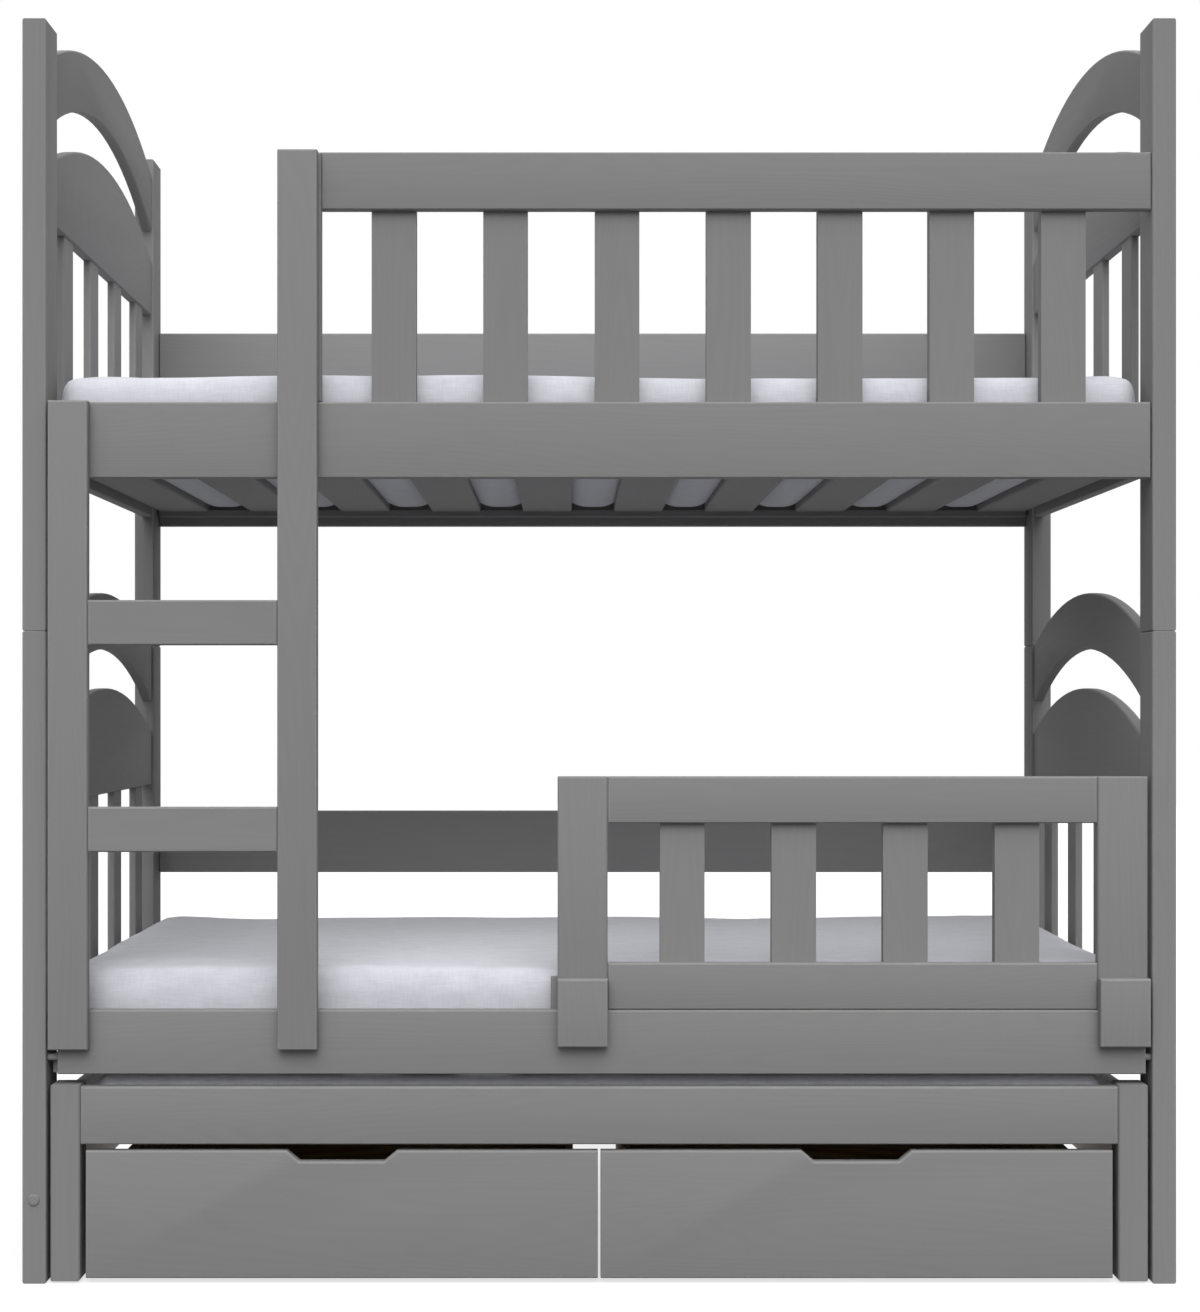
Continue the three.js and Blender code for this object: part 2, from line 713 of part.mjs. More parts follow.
// A plastic wheel with eased tread edges, for a pin or on an axle, its axis along X
function wheelForm(radius, width, boreRadius) {
  const rim = radius * 0.12;
  const profile = [
    [boreRadius, -width / 2], [radius - rim, -width / 2], [radius, -width / 2 + rim],
    [radius, width / 2 - rim], [radius - rim, width / 2], [boreRadius, width / 2], [boreRadius, -width / 2],
  ].map(([r, along]) => new THREE.Vector2(r, along));
  const geometry = new THREE.LatheGeometry(profile, wheelSides);
  geometry.rotateZ(-Math.PI / 2);
  return geometry;
}

function addTrundle() {
  place('trundle_left_side', trundleSide(-1), paintedPine);
  place('trundle_right_side', trundleSide(1), paintedPine);
  place('trundle_front_rail', trundleRail(trundleRailFront), paintedPine);
  place('trundle_back_rail', trundleRail(trundleBackRailFace - trundleRailThickness), paintedPine);
  const baseFront = trundleRailFront + trundleRailThickness + seat;
  const baseBack = trundleBackRailFace - trundleRailThickness - seat;
  const slatBottom = trundleBattenBottom + battenHeight - slatHousing;
  const span = 2 * (trundleInner - trundleBaseGap);
  place('trundle_slatted_base',
    slattedBase(span, baseFront, baseBack, slatBottom, trundleSlatThickness), paintedPine);
  const mattress = mattressForm(span, baseBack - baseFront - 2 * trundleMattressGap,
    trundleMattressThickness, trundleEdgeRadius);
  mattress.translate(0, (baseFront + baseBack) / 2, slatBottom + trundleSlatThickness + seat);
  place('trundle_mattress', mattress, ticking);
  for (const [sideName, side] of [['left', -1], ['right', 1]]) {
    for (const [k, placeName] of ['front', 'back'].entries()) {
      const wheel = wheelForm(castorRadius, castorWidth, castorPinRadius + runningGap);
      wheel.translate(side * castorPlane, castorPlaces[k], castorRadius);
      place(`trundle_${placeName}_${sideName}_wheel`, wheel, wheelPlastic);
    }
  }
}

// Drawers: a front with a hand cut-out, a box behind it and two wheel sets turning in its sides
const drawerFrontWidth = trundleInner - drawerSideGap - drawerMiddleGap / 2;
const drawerFrontFace = trundleRailFront;
const drawerFrontBack = drawerFrontFace + boardThickness;
const drawerBoxBack = drawerFrontBack + drawerBoxDepth;
const drawerFrontTop = drawerFrontBottom + drawerFrontHeight;
const axlePlaces = [drawerFrontBack + drawerAxleInset, drawerBoxBack - drawerAxleInset];

function drawerFrontOutline(centre) {
  const half = drawerFrontWidth / 2;
  const gripFloor = drawerFrontTop - gripDepth;
  const shape = new THREE.Shape();
  shape.moveTo(centre - half, drawerFrontBottom);
  shape.lineTo(centre + half, drawerFrontBottom);
  shape.lineTo(centre + half, drawerFrontTop);
  shape.lineTo(centre + gripWidth / 2, drawerFrontTop);
  shape.lineTo(centre + gripFloorWidth / 2, gripFloor);
  shape.lineTo(centre - gripFloorWidth / 2, gripFloor);
  shape.lineTo(centre - gripWidth / 2, drawerFrontTop);
  shape.lineTo(centre - half, drawerFrontTop);
  shape.closePath();
  return shape;
}

function drawerBox(centre) {
  const half = drawerFrontWidth / 2 - drawerBoxInset;
  const x0 = centre - half;
  const x1 = centre + half;
  const y0 = drawerFrontBack + seat;
  const sides = [x0, x1 - drawerWall].map((x) => block(
    x, x + drawerWall, y0, drawerBoxBack, drawerSideBottom, drawerSideTop));
  const ends = [y0, drawerBoxBack - drawerWall].map((y) => block(
    x0 + drawerWall / 2, x1 - drawerWall / 2, y, y + drawerWall, drawerFloorBottom - drawerFloorThickness,
    drawerSideTop));
  const floor = block(x0 + drawerWall / 2, x1 - drawerWall / 2, y0 + drawerWall / 2,
    drawerBoxBack - drawerWall / 2, drawerFloorBottom, drawerFloorBottom + drawerFloorThickness);
  // Wide enough for the corners of the turning axle
  const boreRadius = (drawerAxleRadius + runningGap) / Math.cos(Math.PI / axleSides);
  const bores = axlePlaces.map((y) => rodAlongX(x0 - 1, x1 + 1, y, drawerWheelRadius, boreRadius, axleSides));
  return cut(join([...sides, ...ends, floor]), bores);
}

// Two wheels pressed on one steel axle
function wheelSet(centre, y) {
  const sideOuter = drawerFrontWidth / 2 - drawerBoxInset;
  const wheelMiddle = sideOuter + drawerWheelGap + drawerWheelWidth / 2;
  const wheels = [-1, 1].map((side) => {
    const wheel = wheelForm(drawerWheelRadius, drawerWheelWidth, drawerAxleRadius / 2);
    wheel.translate(centre + side * wheelMiddle, y, drawerWheelRadius);
    return wheel;
  });
  const end = wheelMiddle + drawerWheelWidth / 2 + drawerWheelGap / 2;
  return join([
    ...wheels,
    rodAlongX(centre - end, centre + end, y, drawerWheelRadius, drawerAxleRadius, axleSides),
  ]);
}

function addDrawers() {
  for (const [sideName, side] of [['left', -1], ['right', 1]]) {
    const centre = side * (drawerMiddleGap + drawerFrontWidth) / 2;
    place(`${sideName}_drawer_front`,
      plateAcrossY(drawerFrontOutline(centre), drawerFrontFace, drawerFrontBack), paintedPine);
    place(`${sideName}_drawer_box`, drawerBox(centre), rawPine);
    for (const [k, placeName] of ['front', 'back'].entries()) {
      place(`${sideName}_drawer_${placeName}_wheels`, wheelSet(centre, axlePlaces[k]), wheelPlastic);
    }
  }
}

addPosts();
addEnds();
for (const board of peggedBoards) {
  place(board.name, peggedBoard(board), paintedPine);
}
addSleepingLevel('lower', lowerSlatBottom, lowerMattressThickness);
addSleepingLevel('upper', upperSlatBottom, upperMattressThickness);
addUpperGuard();
addLowerGuard();
addLadder();
addTrundle();
addDrawers();

export default bed;
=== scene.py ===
# Triple bunk bed: the looks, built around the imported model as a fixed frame.
# Metres, +Z up, the front of the bed faces -Y.
import json
import math

import bmesh
import bpy
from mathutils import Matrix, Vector, noise

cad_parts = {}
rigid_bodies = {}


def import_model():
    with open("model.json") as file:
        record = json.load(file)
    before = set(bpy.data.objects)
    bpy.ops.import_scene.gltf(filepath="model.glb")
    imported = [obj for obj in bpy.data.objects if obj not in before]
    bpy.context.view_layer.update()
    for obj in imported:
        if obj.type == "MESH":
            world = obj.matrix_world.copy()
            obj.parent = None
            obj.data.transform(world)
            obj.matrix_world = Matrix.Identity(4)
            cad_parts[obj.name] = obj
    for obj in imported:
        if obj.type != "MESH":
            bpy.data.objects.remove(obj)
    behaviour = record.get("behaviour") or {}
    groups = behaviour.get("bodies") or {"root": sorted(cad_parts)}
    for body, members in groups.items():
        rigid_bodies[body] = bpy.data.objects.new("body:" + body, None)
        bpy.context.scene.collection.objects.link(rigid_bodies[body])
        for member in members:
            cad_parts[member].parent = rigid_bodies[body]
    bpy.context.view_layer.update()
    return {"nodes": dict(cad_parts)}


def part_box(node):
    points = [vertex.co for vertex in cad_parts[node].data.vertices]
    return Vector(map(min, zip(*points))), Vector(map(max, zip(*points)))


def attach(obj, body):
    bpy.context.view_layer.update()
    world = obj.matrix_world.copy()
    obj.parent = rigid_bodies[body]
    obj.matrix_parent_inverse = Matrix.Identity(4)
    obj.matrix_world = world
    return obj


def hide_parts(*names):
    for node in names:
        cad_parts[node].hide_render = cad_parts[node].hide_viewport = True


for leftover in list(bpy.data.objects):
    bpy.data.objects.remove(leftover)

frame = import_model()
nodes = frame["nodes"]
scene = bpy.context.scene

# Camera, solved from the photo's edges: level, facing the front squarely
CAMERA_PLACE = (-0.0453, -3.551, 0.846)
CAMERA_LENS = 58.80
CAMERA_SHIFT = (0.0243, 0.0354)
SENSOR = 36.0

# Colours, as light reflected
PAINT = (0.2233, 0.2233, 0.2233)
PAINT_LIGHT = (0.2305, 0.2305, 0.2305)
PAINT_DARK = (0.2145, 0.2145, 0.2145)
# The edge tone below is lighter than the paint as a painted highlight along every rounded edge; the
# rubbed tone after it is wear.
PAINT_EDGE_HIGHLIGHT = (0.262, 0.261, 0.258)
PAINT_RUBBED = (0.33, 0.32, 0.30)
PINE_PALE = (0.62, 0.45, 0.28)
PINE = (0.54, 0.38, 0.22)
PINE_LATE_WOOD = (0.44, 0.26, 0.12)
COVER_LIGHT = (0.635, 0.64, 0.69)
COVER_MIDDLE = (0.555, 0.56, 0.605)
COVER_DARK = (0.43, 0.435, 0.475)
WHEEL_BLACK = (0.035, 0.035, 0.037)
WHEEL_SCUFFED = (0.085, 0.085, 0.088)
STEEL = (0.52, 0.52, 0.53)
STEEL_DULL = (0.36, 0.36, 0.37)

# Gloss of the satin paint and the linen cover
DULL_SPECULAR = 0.1

# Frame boards: rounding of the eased edges, the angles that count as an edge, the weld that
# closes split corners, and the slack for sorting faces by place
EDGE_ROUND = 0.0008
EDGE_SEGMENTS = 2
EDGE_ANGLE = math.radians(25)
SHADE_ANGLE = math.radians(14)
WELD_DISTANCE = 0.00001
SKIN = 0.0005

# Sizes repeated from the model, for the boards fused in one node
BOARD = 0.018
UPPER_GUARD_BOARD = 0.084
LOWER_GUARD_BOARD = 0.068
END_BOARD = 0.095
BATTEN_WIDTH = 0.020
BATTEN_HEIGHT = 0.012
SLAT_HOUSING = 0.002
SLAT_WIDTH = 0.090
SLAT_COUNT = 10
TRUNDLE_LEG = 0.043
TRUNDLE_BOARD_BOTTOM = 0.121
DRAWER_WALL = 0.012

# Guard slats: how far they are let into the backs of their boards, the hidden laps of their
# front layer, and the space that parts one slat from the next
SLAT_LET_IN = 0.0075
SLAT_OVERLAP = 0.0012
SLAT_HIDDEN_END = 0.003
SLAT_PROUD = 0.0001
SLAT_SPACE = 0.075

# Mattresses
MATTRESS_EDGE = 0.020
MATTRESS_BOTTOM_EDGE = 0.008
MATTRESS_CELL = 0.016
MATTRESS_LEAST_CELLS = 4
CELL_SPACE_SHARE = 0.4
MATTRESS_CROWN = 0.004
MATTRESS_DRAW_IN = 0.005
MATTRESS_EDGE_TURNS = (0, 15, 30)
MATTRESS_SHOULDER_SHARE = 0.42
WAVE_HEIGHT = 0.006
WAVE_STRETCH = (3.4, 4.2, 7.0)
WRINKLE_HEIGHT = 0.0008
WRINKLE_STRETCH = (9.0, 13.0, 16.0)
TOP_SHARE = 0.5
UNDERSIDE_SHARE = 0.1
FACES_DOWN = -0.5
SAG_SHARE = 0.72
SAG_CLEARANCE = 0.0015
SAG_SLOPE = 0.009
SAG_BEND_SHARE = 0.4

# Cloth run that fills the mattress covers
CLOTH_VOXEL = 0.014
CLOTH_PRESSURE = 4.0
CLOTH_SLACK = -0.012
CLOTH_STIFFNESS = 0.5
CLOTH_FRAMES = 20
CLOTH_CAP = 0.006
CORE_GIVE = 0.0015
PINNED_HEIGHT = 0.012

# Cover cap on the left front post
CAP_PLACE = (-0.823, 0.122)
CAP_RADIUS = 0.0085
CAP_SIDES = 32

# Its rings as (share of the radius, distance behind the post's face)
CAP_RINGS = [(1.0, 0.0003), (1.0, -0.0009), (0.93, -0.0016), (0.75, -0.0019), (0.4, -0.0020)]

# Wheels
WHEEL_SEGMENTS = 48
WHEEL_EDGE_ROUND = 0.0003
WHEEL_WEB_DEPTH = 0.0035
WHEEL_WEB_SLOPE = 0.0015
WHEEL_HUB_SHARE = 0.34
WHEEL_RIM_SHARE = 0.80
CASTOR_BORE_SHARE = 0.18
DRAWER_WHEEL_WIDTH = 0.014
DRAWER_AXLE_RADIUS = 0.004
DRAWER_AXLE_END = 0.001
AXLE_CHAMFER = 0.0006
AXLE_TIP_SHARE = 0.8

# Shoulder of a tread as (distance in from its side, distance under its radius)
TREAD_SHOULDER = [(0.0, 0.0025), (0.0012, 0.0007), (0.003, 0.0)]

# Studio light: an even level, and soft lights as (direction, focus, strength)
DOME_LEVEL = 0.04
DOME_LIGHTS = [
    ((0.0, -0.5, 0.866), 6.0, 2.8),
    ((0.0, -0.766, 0.643), 8.0, 2.98),
    ((0.75, -0.35, 0.55), 8.0, 0.3),
    ((-0.75, -0.35, 0.55), 8.0, 0.3),
    ((0.0, 0.643, 0.766), 4.0, 1.3),
    ((0.0, 1.0, 0.1), 10.0, 1.6),
]
FLOOR_ALBEDO = 0.15
FLOOR_SHADOW = 0.3
FLOOR_HALF = 14.0
WHITE = (1.0, 1.0, 1.0)
FLOOR_SPECK = (0.97, 0.97, 0.97)


def node(tree, kind, place, inputs=None, **settings):
    """A shader node with its settings and plain inputs."""
    made = tree.nodes.new(kind)
    made.location = place
    for name, value in settings.items():
        setattr(made, name, value)
    for name, value in (inputs or {}).items():
        made.inputs[name].default_value = value
    return made


def rgba(colour):
    """A colour with full opacity."""
    return (*colour, 1.0)


def new_material(name):
    """A node material with only its output and a Principled shader."""
    material = bpy.data.materials.new(name)
    material.use_nodes = True
    tree = material.node_tree
    tree.nodes.clear()
    output = node(tree, "ShaderNodeOutputMaterial", (600, 0))
    shader = node(tree, "ShaderNodeBsdfPrincipled", (300, 0))
    tree.links.new(shader.outputs["BSDF"], output.inputs["Surface"])
    return material, tree, shader


def stretched_noise(tree, scale, size, detail, place, distortion=0.0):
    """Noise in the object's own coordinates, stretched by a scale on each axis."""
    coordinates = node(tree, "ShaderNodeTexCoord", (place[0] - 500, place[1]))
    mapping = node(tree, "ShaderNodeMapping", (place[0] - 300, place[1]), {"Scale": scale})
    texture = node(tree, "ShaderNodeTexNoise", place,
                   {"Scale": size, "Detail": detail, "Distortion": distortion})
    tree.links.new(coordinates.outputs["Object"], mapping.inputs["Vector"])
    tree.links.new(mapping.outputs["Vector"], texture.inputs["Vector"])
    return texture.outputs["Fac"]


def ramp(tree, value, stops, place):
    """A colour ramp over a value; stops are (position, colour)."""
    made = node(tree, "ShaderNodeValToRGB", place)
    elements = made.color_ramp.elements
    for element, (position, colour) in zip(elements, (stops[0], stops[-1])):
        element.position = position
        element.color = rgba(colour)
    for position, colour in stops[1:-1]:
        element = elements.new(position)
        element.color = rgba(colour)
    tree.links.new(value, made.inputs["Fac"])
    return made.outputs["Color"]


def mixed(tree, first, second, share, place):
    """Two colours mixed by a fixed share."""
    made = node(tree, "ShaderNodeMix", place, data_type="RGBA")
    made.inputs["Factor"].default_value = share
    tree.links.new(first, made.inputs["A"])
    tree.links.new(second, made.inputs["B"])
    return made.outputs["Result"]


def spread(tree, value, low, high, place):
    """A 0 to 1 value spread between two numbers."""
    made = node(tree, "ShaderNodeMapRange", place, {"To Min": low, "To Max": high})
    tree.links.new(value, made.inputs["Value"])
    return made.outputs["Result"]


def bump(tree, height, strength, distance, place, before=None):
    """A relief from a height, laid over the relief before it where there is one."""
    made = node(tree, "ShaderNodeBump", place, {"Strength": strength, "Distance": distance})
    tree.links.new(height, made.inputs["Height"])
    if before is not None:
        tree.links.new(before, made.inputs["Normal"])
    return made.outputs["Normal"]


def along(axis, slow, fast):
    """A scale that changes slowly along one axis and fast across it."""
    return tuple(slow if k == "XYZ".index(axis) else fast for k in range(3))


def contours(tree, field, count, place):
    """Fine lines that follow a slow field like growth rings cut flat, from 0 to 1."""
    many = node(tree, "ShaderNodeMath", place, operation="MULTIPLY")
    many.inputs[1].default_value = 2 * math.pi * count
    tree.links.new(field, many.inputs[0])
    wave = node(tree, "ShaderNodeMath", (place[0] + 180, place[1]), operation="SINE")
    tree.links.new(many.outputs[0], wave.inputs[0])
    lifted = node(tree, "ShaderNodeMapRange", (place[0] + 360, place[1]),
                  {"From Min": -1.0, "From Max": 1.0})
    tree.links.new(wave.outputs[0], lifted.inputs["Value"])
    return lifted.outputs["Result"]


def painted_pine(axis):
    """Grey satin paint on pine, its growth rings pressing faintly through along one axis."""
    material, tree, shader = new_material(f"painted_pine_along_{axis.lower()}")
    field = stretched_noise(tree, along(axis, 0.42, 5.2), 1.0, 2.0, (-1300, 300))
    rings = contours(tree, field, 62, (-1100, 300))
    streaks = stretched_noise(tree, along(axis, 2.4, 150.0), 2.0, 4.0, (-700, 0), 0.2)
    brush = stretched_noise(tree, along(axis, 6.0, 420.0), 3.0, 2.0, (-700, -300))
    patches = stretched_noise(tree, along(axis, 0.8, 3.0), 2.0, 2.0, (-700, -600))
    lines = ramp(tree, rings, [(0.0, PAINT_DARK), (0.35, PAINT), (1.0, PAINT_LIGHT)], (-350, 300))
    fine = ramp(tree, streaks, [(0.35, PAINT_DARK), (0.5, PAINT), (0.68, PAINT_LIGHT)], (-350, 0))
    cloud = ramp(tree, patches, [(0.35, PAINT_DARK), (0.5, PAINT), (0.7, PAINT_LIGHT)], (-350, -600))
    tone = mixed(tree, lines, fine, 0.5, (-50, 200))
    tree.links.new(mixed(tree, tone, cloud, 0.35, (100, 300)), shader.inputs["Base Color"])
    tree.links.new(spread(tree, brush, 0.66, 0.84, (-50, -50)), shader.inputs["Roughness"])
    relief = bump(tree, rings, 0.10, 0.0004, (-50, -250))
    grain = bump(tree, streaks, 0.12, 0.0004, (130, -350), relief)
    tree.links.new(bump(tree, brush, 0.05, 0.0002, (300, -450), grain), shader.inputs["Normal"])
    shader.inputs["Specular IOR Level"].default_value = DULL_SPECULAR
    return material


def worn_edge_with_painted_highlight():
    """The same paint on the rounded edges, made lighter all along them as a painted highlight, with
    lighter rub marks of wear in spots.
    """
    material, tree, shader = new_material("painted_pine_edges")
    rub = stretched_noise(tree, (1.0, 1.0, 1.0), 38.0, 6.0, (-700, 300))
    speck = stretched_noise(tree, (1.0, 1.0, 1.0), 420.0, 3.0, (-700, 0))
    # Painted highlight: the rounded edges are lighter than the faces all along, with rub marks of wear
    # lighter still.
    highlight_with_rubs = ramp(tree, rub, [(0.5, PAINT_EDGE_HIGHLIGHT), (0.74, PAINT_RUBBED)], (-350, 300))
    highlight_specks = ramp(tree, speck, [(0.4, PAINT), (0.6, PAINT_EDGE_HIGHLIGHT)], (-350, 0))
    tree.links.new(mixed(tree, highlight_with_rubs, highlight_specks, 0.5, (-50, 200)), shader.inputs["Base Color"])
    tree.links.new(spread(tree, rub, 0.6, 0.85, (-50, -50)), shader.inputs["Roughness"])
    tree.links.new(bump(tree, speck, 0.08, 0.0002, (-50, -250)), shader.inputs["Normal"])
    shader.inputs["Specular IOR Level"].default_value = DULL_SPECULAR
    return material


def bare_pine(axis):
    """Planed pine of the drawer boxes: pale early wood, darker late wood along the grain."""
    material, tree, shader = new_material(f"bare_pine_along_{axis.lower()}")
    field = stretched_noise(tree, along(axis, 0.5, 6.0), 1.0, 2.0, (-1300, 300))
    rings = contours(tree, field, 40, (-1100, 300))
    pores = stretched_noise(tree, along(axis, 8.0, 260.0), 3.0, 3.0, (-700, 0))
    wood = ramp(tree, rings, [(0.0, PINE_PALE), (0.6, PINE), (0.92, PINE_LATE_WOOD)], (-350, 300))
    fine = ramp(tree, pores, [(0.3, PINE_LATE_WOOD), (0.55, PINE), (0.7, PINE_PALE)], (-350, 0))
    tree.links.new(mixed(tree, wood, fine, 0.4, (-50, 200)), shader.inputs["Base Color"])
    tree.links.new(spread(tree, pores, 0.6, 0.8, (-50, -50)), shader.inputs["Roughness"])
    tree.links.new(bump(tree, pores, 0.15, 0.0004, (-50, -250)), shader.inputs["Normal"])
    shader.inputs["Specular IOR Level"].default_value = 0.25
    return material


def mattress_cover():
    """Pale blue-grey linen-like weave with uneven threads, slubs and a soft cloudiness."""
    material, tree, shader = new_material("linen_cover")
    weft = stretched_noise(tree, (46.0, 860.0, 860.0), 1.0, 3.0, (-900, 450))
    warp = stretched_noise(tree, (860.0, 64.0, 46.0), 1.0, 3.0, (-900, 150))
    slub = stretched_noise(tree, (24.0, 330.0, 330.0), 1.0, 3.0, (-900, -150))
    cloud = stretched_noise(tree, (1.0, 1.6, 1.6), 26.0, 4.0, (-900, -450))
    tones = [(0.36, COVER_DARK), (0.5, COVER_MIDDLE), (0.62, COVER_LIGHT)]
    threads = mixed(tree, ramp(tree, weft, tones, (-550, 450)), ramp(tree, warp, tones, (-550, 150)),
                    0.48, (-250, 300))
    uneven = mixed(tree, threads, ramp(tree, slub, tones, (-550, -150)), 0.2, (-100, 250))
    patches = ramp(tree, cloud, [(0.34, COVER_MIDDLE), (0.62, COVER_LIGHT)], (-550, -450))
    tree.links.new(mixed(tree, uneven, patches, 0.5, (0, 200)), shader.inputs["Base Color"])
    shader.inputs["Roughness"].default_value = 0.92
    shader.inputs["Specular IOR Level"].default_value = DULL_SPECULAR
    shader.inputs["Sheen Weight"].default_value = 0.2
    shader.inputs["Sheen Roughness"].default_value = 0.5
    first = bump(tree, weft, 0.25, 0.0006, (-250, -300))
    tree.links.new(bump(tree, warp, 0.25, 0.0006, (0, -300), first), shader.inputs["Normal"])
    return material


def wheel_plastic():
    """Moulded black plastic, scuffed to grey where it rolls."""
    material, tree, shader = new_material("moulded_wheel_plastic")
    scuff = stretched_noise(tree, (1.0, 1.0, 1.0), 160.0, 6.0, (-600, 200))
    tree.links.new(ramp(tree, scuff, [(0.5, WHEEL_BLACK), (0.75, WHEEL_SCUFFED)], (-250, 200)),
                   shader.inputs["Base Color"])
    tree.links.new(spread(tree, scuff, 0.35, 0.6, (-250, -50)), shader.inputs["Roughness"])
    tree.links.new(bump(tree, scuff, 0.08, 0.0003, (-250, -300)), shader.inputs["Normal"])
    return material


def zinc_steel():
    """Pressed zinc-plated steel with a faint spangle."""
    material, tree, shader = new_material("zinc_plated_steel")
    spangle = stretched_noise(tree, (1.0, 1.0, 1.0), 220.0, 3.0, (-600, 200))
    tree.links.new(ramp(tree, spangle, [(0.35, STEEL_DULL), (0.65, STEEL)], (-250, 200)),
                   shader.inputs["Base Color"])
    tree.links.new(spread(tree, spangle, 0.3, 0.5, (-250, -50)), shader.inputs["Roughness"])
    shader.inputs["Metallic"].default_value = 1.0
    return material


PAINTED = {axis: painted_pine(axis) for axis in "XYZ"}
BARE_PINE = {axis: bare_pine(axis) for axis in "XY"}
WORN_EDGE_WITH_PAINTED_HIGHLIGHT = worn_edge_with_painted_highlight()
LINEN = mattress_cover()
PLASTIC = wheel_plastic()
ZINC = zinc_steel()


def smooth_by_angle():
    """A node group that shades faces smooth and keeps edges over the limit sharp."""
    group = bpy.data.node_groups.new("smooth_by_angle", "GeometryNodeTree")
    group.interface.new_socket("Geometry", in_out="INPUT", socket_type="NodeSocketGeometry")
    group.interface.new_socket("Geometry", in_out="OUTPUT", socket_type="NodeSocketGeometry")
    enter = node(group, "NodeGroupInput", (-600, 0))
    leave = node(group, "NodeGroupOutput", (600, 0))
    drop = node(group, "GeometryNodeRemoveAttribute", (-400, 0), {"Name": "custom_normal"})
    faces = node(group, "GeometryNodeSetShadeSmooth", (-200, 0), domain="FACE")
    angle = node(group, "GeometryNodeInputMeshEdgeAngle", (-200, -200))
    sharp = node(group, "FunctionNodeCompare", (0, -200), data_type="FLOAT", operation="GREATER_THAN")
    sharp.inputs["B"].default_value = SHADE_ANGLE
    edges = node(group, "GeometryNodeSetShadeSmooth", (200, 0), domain="EDGE")
    edges.inputs["Shade Smooth"].default_value = False
    link = group.links.new
    link(enter.outputs["Geometry"], drop.inputs["Geometry"])
    link(drop.outputs["Geometry"], faces.inputs["Geometry"])
    link(faces.outputs["Geometry"], edges.inputs["Geometry"])
    link(angle.outputs["Unsigned Angle"], sharp.inputs["A"])
    link(sharp.outputs["Result"], edges.inputs["Selection"])
    link(edges.outputs["Geometry"], leave.inputs["Geometry"])
    return group


SMOOTH_BY_ANGLE = smooth_by_angle()


def round_edges(obj, width=EDGE_ROUND, edge_slot=None, weld=False):
    """Small rounded edges, shaded smooth, with a material of their own where one is given."""
    if weld:
        obj.modifiers.new("weld", "WELD").merge_threshold = WELD_DISTANCE
    bevel = obj.modifiers.new("rounded_edges", "BEVEL")
    bevel.width = width
    bevel.segments = EDGE_SEGMENTS
    bevel.limit_method = "ANGLE"
    bevel.angle_limit = EDGE_ANGLE
    bevel.use_clamp_overlap = True
    if edge_slot is not None:
        bevel.material = edge_slot
    smooth = obj.modifiers.new("smooth_by_angle", "NODES")
    smooth.node_group = SMOOTH_BY_ANGLE


def paint(obj, *materials):
    """Gives the object its materials, of which every face takes the first."""
    obj.data.materials.clear()
    for material in materials:
        obj.data.materials.append(material)


def paint_by_place(obj, materials, choose):
    """Gives each face the material whose number choose returns for the face's middle."""
    paint(obj, *materials)
    for polygon in obj.data.polygons:
        polygon.material_index = choose(polygon.center)


def grain_axis(name):
    """Boards have their grain along their longest side."""
    low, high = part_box(name)
    size = high - low
    return "XYZ"[max(range(3), key=lambda k: size[k])]


def piece(name, vertices, faces, *materials):
    """A new mesh object from vertices and faces."""
    mesh = bpy.data.meshes.new(name)
    mesh.from_pydata(vertices, [], faces)
    mesh.validate()
    mesh.update()
    obj = bpy.data.objects.new(name, mesh)
    scene.collection.objects.link(obj)
    paint(obj, *materials)
    return obj


def guard_faces(low, high, board_height, bottom_board):
    """Level grain in a guard's boards, upright grain in the slats behind them."""
    def choose(place):
        on_board = place.y < low.y + BOARD + SKIN
        level = place.z > high.z - board_height - SKIN
        if bottom_board:
            level = level or place.z < low.z + board_height + SKIN
        return 0 if on_board and level else 1
    return choose


def end_slat_faces(low):
    """Level grain in the bottom board, upright grain in the slats."""
    def choose(place):
        return 0 if place.z < low.z + END_BOARD + SKIN else 1
    return choose


def slatted_base_faces(low, high):
    """Grain along the bed in the two battens, across it in the slats."""
    def choose(place):
        at_side = min(place.y - low.y, high.y - place.y) < BATTEN_WIDTH + SKIN
        return 0 if at_side and place.z < low.z + BATTEN_HEIGHT + SKIN else 1
    return choose


def trundle_side_faces(low, high):
    """Upright grain in the legs, level grain in the board, steel on the castor forks."""
    outside = high.x if low.x > 0 else low.x
    middle = outside - math.copysign(BOARD / 2, outside)

    def choose(place):
        if min(place.y - low.y, high.y - place.y) < TRUNDLE_LEG + SKIN:
            return 1
        proud = abs(place.x - middle) > BOARD / 2 + SKIN
        return 2 if proud or place.z < TRUNDLE_BOARD_BOTTOM - SKIN else 0
    return choose


def drawer_box_faces(low, high):
    """Grain along the bed in the front, back and floor, and along their length in the sides."""
    def choose(place):
        at_side = min(place.x - low.x, high.x - place.x) < DRAWER_WALL + SKIN
        return 1 if at_side else 0
    return choose


